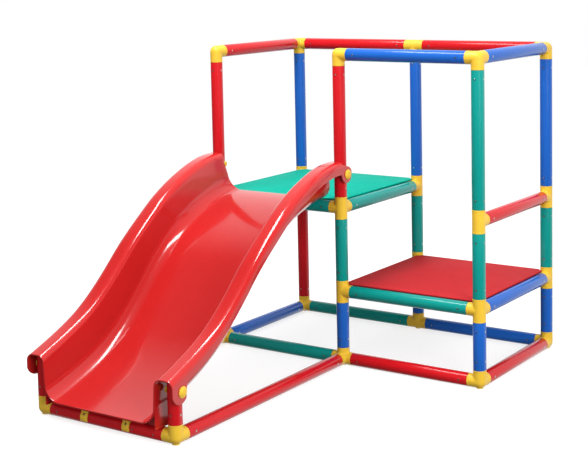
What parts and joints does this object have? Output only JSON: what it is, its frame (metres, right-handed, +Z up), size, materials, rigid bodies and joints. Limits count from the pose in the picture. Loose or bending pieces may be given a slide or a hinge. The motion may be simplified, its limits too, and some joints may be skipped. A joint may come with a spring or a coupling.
{
  "type": "toddler climbing frame with slide",
  "caption": "Free-standing toddler climbing frame of plastic tubes and moulded joints, with a high and a low deck, guard bars and a moulded slide.",
  "frame": {"origin": "centre of the bounding box on the floor", "axes": "+Z up; the slide runs out towards -Y; the upper deck is at -X, the lower deck at +X"},
  "size_m": [1.215, 1.6278, 1.1986],
  "materials": {
    "red_tube": "glossy red tube",
    "blue_tube": "glossy blue tube",
    "green_tube": "glossy sea-green tube",
    "yellow_joint": "moulded yellow plastic",
    "green_board": "fine-grained sea-green board",
    "red_board": "fine-grained red board",
    "red_slide": "polished red moulding"
  },
  "bodies": {
    "root": {"bolt_lower_left": "yellow_joint", "bolt_lower_right": "yellow_joint", "bolt_upper_left": "yellow_joint", "bolt_upper_right": "yellow_joint", "clip_left": "yellow_joint", "clip_right": "yellow_joint", "corner_floor_front_left": "red_tube", "corner_lower_back_mid": "yellow_joint", "corner_upper_back_left": "yellow_joint", "deck_lower": "red_board", "deck_upper": "green_board", "joint_floor_front_mid": "yellow_joint", "joint_floor_front_right": "yellow_joint", "joint_floor_slide_left": "yellow_joint", "joint_floor_slide_right": "yellow_joint", "joint_lower_back_right": "yellow_joint", "joint_lower_front_mid": "yellow_joint", "joint_lower_front_right": "yellow_joint", "joint_top_front_left": "yellow_joint", "joint_top_front_mid": "yellow_joint", "joint_top_front_right": "yellow_joint", "joint_upper_front_mid": "yellow_joint", "joint_upper_front_right": "yellow_joint", "slide": "red_slide", "tube_floor_back_left": "green_tube", "tube_floor_back_right": "blue_tube", "tube_floor_front_left": "green_tube", "tube_floor_front_right": "red_tube", "tube_floor_left": "blue_tube", "tube_floor_right": "red_tube", "tube_floor_slide_front": "red_tube", "tube_floor_slide_right": "red_tube", "tube_lower_front": "green_tube", "tube_lower_right": "blue_tube", "tube_rail_right": "red_tube", "tube_top_back_left": "red_tube", "tube_top_back_right": "red_tube", "tube_top_front_right": "blue_tube", "tube_top_left": "red_tube", "tube_top_right": "blue_tube", "tube_upper_front": "green_tube", "tube_upper_middle": "green_tube", "upright_back_left_lower_half": "red_tube", "upright_back_left_upper_half": "blue_tube", "upright_back_mid_foot": "blue_tube", "upright_back_mid_middle": "green_tube", "upright_back_mid_upper_half": "blue_tube", "upright_back_right_foot": "blue_tube", "upright_back_right_middle": "green_tube", "upright_back_right_upper_half": "blue_tube", "upright_front_left_lower_half": "blue_tube", "upright_front_left_upper_top": "red_tube", "upright_front_mid_floor_lower": "blue_tube", "upright_front_mid_lower_upper": "green_tube", "upright_front_mid_upper_top": "red_tube", "upright_front_right_floor_lower": "blue_tube", "upright_front_right_lower_upper": "green_tube", "upright_front_right_upper_top": "green_tube", "upright_slide_left": "red_tube", "upright_slide_right": "red_tube"}
  },
  "joints": []
}
